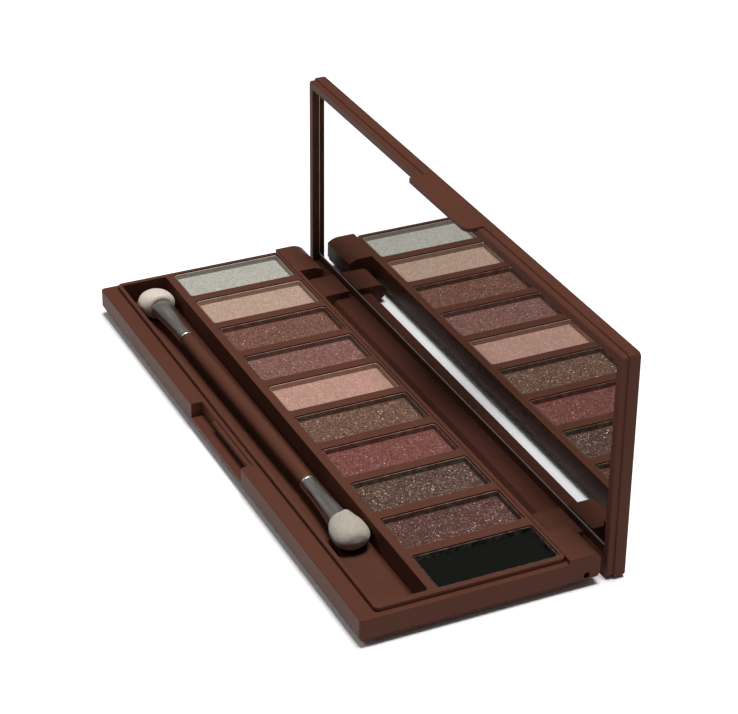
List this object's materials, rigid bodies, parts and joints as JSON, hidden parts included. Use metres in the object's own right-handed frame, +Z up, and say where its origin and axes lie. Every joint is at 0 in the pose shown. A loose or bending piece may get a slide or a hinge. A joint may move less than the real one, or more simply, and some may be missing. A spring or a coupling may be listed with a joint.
{
  "type": "eyeshadow palette",
  "caption": "Slim hinged eyeshadow compact standing open: rectangular powder pans in a row, full mirror in the lid, trough with a double-ended sponge applicator.",
  "frame": {"origin": "on the supporting surface, below the centre of the open palette's bounding box", "axes": "+X along the long side, +Y from the front edge towards the hinge and the standing lid, +Z up"},
  "size_m": [0.165, 0.0656, 0.0578],
  "materials": {
    "shell_plastic": "satin, softly worn moulded edges",
    "deck_plastic": "satin",
    "pan_metal": "pressed sheet, semi-bright",
    "adhesive": "tacky, hidden",
    "pin_steel": "drawn wire",
    "mirror_glass": "silvered float glass",
    "mounting_tape": "foam tape, hidden",
    "handle_plastic": "glossy",
    "ferrule_metal": "smoky bright collar",
    "sponge_foam": "fine closed-cell foam",
    "powder_01": "pressed powder",
    "powder_02": "pressed powder",
    "powder_03": "pressed powder",
    "powder_04": "pressed powder",
    "powder_05": "pressed powder",
    "powder_06": "pressed powder",
    "powder_07": "pressed powder",
    "powder_08": "pressed powder",
    "powder_09": "pressed powder",
    "powder_10": "pressed powder"
  },
  "bodies": {
    "base": {"base_shell": "shell_plastic", "pan_deck": "deck_plastic", "glue_pad_01": "adhesive", "pan_01": "pan_metal", "powder_01": "powder_01", "glue_pad_02": "adhesive", "pan_02": "pan_metal", "powder_02": "powder_02", "glue_pad_03": "adhesive", "pan_03": "pan_metal", "powder_03": "powder_03", "glue_pad_04": "adhesive", "pan_04": "pan_metal", "powder_04": "powder_04", "glue_pad_05": "adhesive", "pan_05": "pan_metal", "powder_05": "powder_05", "glue_pad_06": "adhesive", "pan_06": "pan_metal", "powder_06": "powder_06", "glue_pad_07": "adhesive", "pan_07": "pan_metal", "powder_07": "powder_07", "glue_pad_08": "adhesive", "pan_08": "pan_metal", "powder_08": "powder_08", "glue_pad_09": "adhesive", "pan_09": "pan_metal", "powder_09": "powder_09", "glue_pad_10": "adhesive", "pan_10": "pan_metal", "powder_10": "powder_10", "hinge_pin_left": "pin_steel", "hinge_pin_right": "pin_steel"},
    "lid": {"lid_shell": "shell_plastic", "mirror": "mirror_glass", "mirror_tape": "mounting_tape"},
    "applicator": {"applicator_handle": "handle_plastic", "ferrule_left": "ferrule_metal", "ferrule_right": "ferrule_metal", "sponge_left": "sponge_foam", "sponge_right": "sponge_foam"}
  },
  "joints": [
    {"name": "lid_hinge", "type": "hinge", "parent": "base", "child": "lid", "pos_m": [0, 0.02264, 0.0033], "axis": [1, 0, 0], "range_deg": [0, 90]},
    {"name": "applicator_slide", "type": "slide", "parent": "base", "child": "applicator", "axis": [1, 0, 0], "range_m": [-0.002, 0.0245]}
  ]
}
